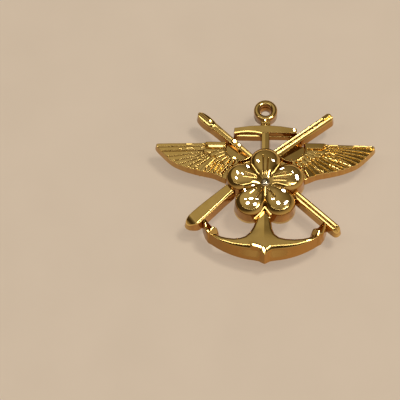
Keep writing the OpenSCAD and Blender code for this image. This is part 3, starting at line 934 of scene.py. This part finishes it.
# Pale plate: worn plating on the boss, and a painted highlight on the petal spots
PALE_WEAR_AND_SHEEN = metal("pale_wear_and_sheen_plate", (0.93, 0.84, 0.66, 1), (0.86, 0.76, 0.56, 1), (0.22, 0.12, 0.04, 1))
BACK = metal("gold_back", (0.78, 0.58, 0.25, 1), (0.66, 0.47, 0.19, 1), (0.22, 0.13, 0.05, 1),
             rough=(0.28, 0.42), scratch=0.05, pits=0.12)
NICKEL = metal("nickel_post", (0.70, 0.67, 0.60, 1), (0.60, 0.56, 0.48, 1), (0.2, 0.17, 0.12, 1),
               rough=(0.2, 0.34), scratch=0.04, pits=0.04)
SPRING = metal("clutch_spring", (0.80, 0.64, 0.36, 1), (0.68, 0.50, 0.24, 1), (0.22, 0.13, 0.05, 1),
               rough=(0.2, 0.36), scratch=0.05, pits=0.07)
BRASS = metal("clutch_brass", (0.86, 0.66, 0.30, 1), (0.76, 0.55, 0.22, 1), (0.25, 0.15, 0.05, 1),
              rough=(0.16, 0.3), scratch=0.04, pits=0.05)


# ---------------------------------------------------------------- assembly
def wear(obj, material, slot, *nodes):
    """Makes a struck piece a part of the badge in place of CAD nodes."""
    dress(obj, material)
    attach(obj, "badge")
    if nodes:
        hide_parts(*nodes)


shell, plate, boss, rays, spots = make_blossom()
wear(shell, GOLD, "gold_blossom", "blossom")
wear(plate, BACK, "gold_back", "back_plate")
wear(boss, PALE_WEAR_AND_SHEEN, "gold_blossom", "centre_rivet")
wear(rays, FINE_GOLD, "gold_blossom")
# The petal spots wear the pale plate as a painted highlight
wear(spots, PALE_WEAR_AND_SHEEN, "gold_blossom")
right_rifle, left_rifle = make_rifles()
wear(right_rifle, FINE_GOLD, "gold_rifle", "right_rifle")
wear(left_rifle, FINE_GOLD, "gold_rifle", "left_rifle")
left_wing, right_wing = make_wings()
wear(left_wing, FINE_GOLD, "gold_wing", "left_wing")
wear(right_wing, FINE_GOLD, "gold_wing", "right_wing")
anchor, stock, ring, neck, chevron = make_anchor()
wear(anchor, GOLD, "gold_anchor", "anchor")
wear(stock, GOLD, "gold_anchor", "anchor_stock")
wear(ring, GOLD, "gold_anchor", "anchor_ring")
wear(neck, GOLD, "gold_anchor")
wear(chevron, FINE_GOLD, "gold_anchor")

for name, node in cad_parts.items():
    if "post" in name:
        dress(node, NICKEL)
    elif "clutch_wing" in name:
        dress(node, SPRING)
    elif "clutch" in name:
        dress(node, BRASS)


# ---------------------------------------------------------------- stage, light and camera
# The floor is a sheet of paper with a glow of its own, which softens the shadows
FLOOR_HALF = 4
FLOOR_GLOW = 0.62
PAPER_TONES = (0.52, 0.43, 0.335, 1), (0.56, 0.465, 0.365, 1)
LAMP_COLOUR = (1, 0.95, 0.86)

# The room's brightest direction, and its colour by the cosine of the angle to it; 0 stands for all of the far half
CEILING_WAY = Vector((-0.2, 0.42, 0.885)).normalized()
ROOM_STOPS = [
    (0.0, (0.50, 0.40, 0.29)), (0.22, (0.30, 0.23, 0.15)), (0.42, (0.045, 0.030, 0.017)),
    (0.74, (0.06, 0.04, 0.022)), (0.86, (0.13, 0.10, 0.062)), (0.94, (0.21, 0.175, 0.125)),
    (0.98, (0.36, 0.31, 0.235)), (1.0, (0.42, 0.37, 0.28))
]

CAMERA_AT = (-0.0078, -0.2521, 0.5003)
CAMERA_TURN = (26.5, 0.43, 1.12)
CAMERA_LENS = 198.5


def make_floor():
    low = cad_box[0][2]
    corners = [(x * FLOOR_HALF, y * FLOOR_HALF, low) for x, y in ((-1, -1), (1, -1), (1, 1), (-1, 1))]
    mesh = bpy.data.meshes.new("floor")
    mesh.from_pydata(corners, [], [(0, 1, 2, 3)])
    floor = bpy.data.objects.new("floor", mesh)
    bpy.context.scene.collection.objects.link(floor)
    paper = Nodes("floor_paper")
    tone = paper.mix(paper.noise(60, 3), *PAPER_TONES)
    paper.put(tone, paper.shader.inputs["Base Color"])
    paper.put(tone, paper.shader.inputs["Emission Color"])
    paper.shader.inputs["Emission Strength"].default_value = FLOOR_GLOW
    paper.shader.inputs["Roughness"].default_value = 0.9
    dress(floor, paper.mat)


def area_light(name, lean_x, lean_y, distance, size, power, wide=None):
    """A lamp above the badge that faces it, off the upright by these degrees; round, or a strip that is wide."""
    light = bpy.data.lights.new(name, "AREA")
    light.shape = "RECTANGLE" if wide else "DISK"
    light.size = wide or size
    light.size_y = size
    light.energy = power
    light.color = LAMP_COLOUR
    obj = bpy.data.objects.new(name, light)
    way = Vector((math.tan(math.radians(lean_x)), math.tan(math.radians(lean_y)), 1)).normalized()
    obj.location = way * distance
    obj.rotation_euler = way.to_track_quat("Z", "Y").to_euler()
    bpy.context.scene.collection.objects.link(obj)


def make_room():
    """A dim warm room with a pale ceiling that is brightest behind the badge, and a pale ground."""
    world = bpy.data.worlds.new("room")
    bpy.context.scene.world = world
    world.use_nodes = True
    tree = world.node_tree
    where = tree.nodes.new("ShaderNodeTexCoord")
    facing = tree.nodes.new("ShaderNodeVectorMath")
    facing.operation = "DOT_PRODUCT"
    facing.inputs[1].default_value = CEILING_WAY
    tree.links.new(where.outputs["Generated"], facing.inputs[0])
    ramp = tree.nodes.new("ShaderNodeValToRGB")
    tree.links.new(facing.outputs["Value"], ramp.inputs["Fac"])
    tree.links.new(ramp.outputs["Color"], tree.nodes["Background"].inputs["Color"])
    stops = ramp.color_ramp.elements
    for spot, _ in ROOM_STOPS[1:-1]:
        stops.new(spot)
    for stop, (spot, colour) in zip(stops, ROOM_STOPS):
        stop.position = spot
        stop.color = (*colour, 1)


def make_light():
    make_room()
    area_light("key", lean_x=17, lean_y=4, distance=1.4, size=0.28, power=4.3)
    area_light("near_strip", lean_x=0, lean_y=-10, distance=1.3, size=0.12, power=3.3, wide=2.3)
    bpy.context.scene.view_settings.view_transform = "Standard"


def make_camera():
    cam = bpy.data.cameras.new("camera")
    cam.lens = CAMERA_LENS
    cam.sensor_width = 36
    obj = bpy.data.objects.new("camera", cam)
    obj.location = CAMERA_AT
    obj.rotation_euler = [math.radians(turn) for turn in CAMERA_TURN]
    bpy.context.scene.collection.objects.link(obj)
    bpy.context.scene.camera = obj


make_floor()
make_light()
make_camera()
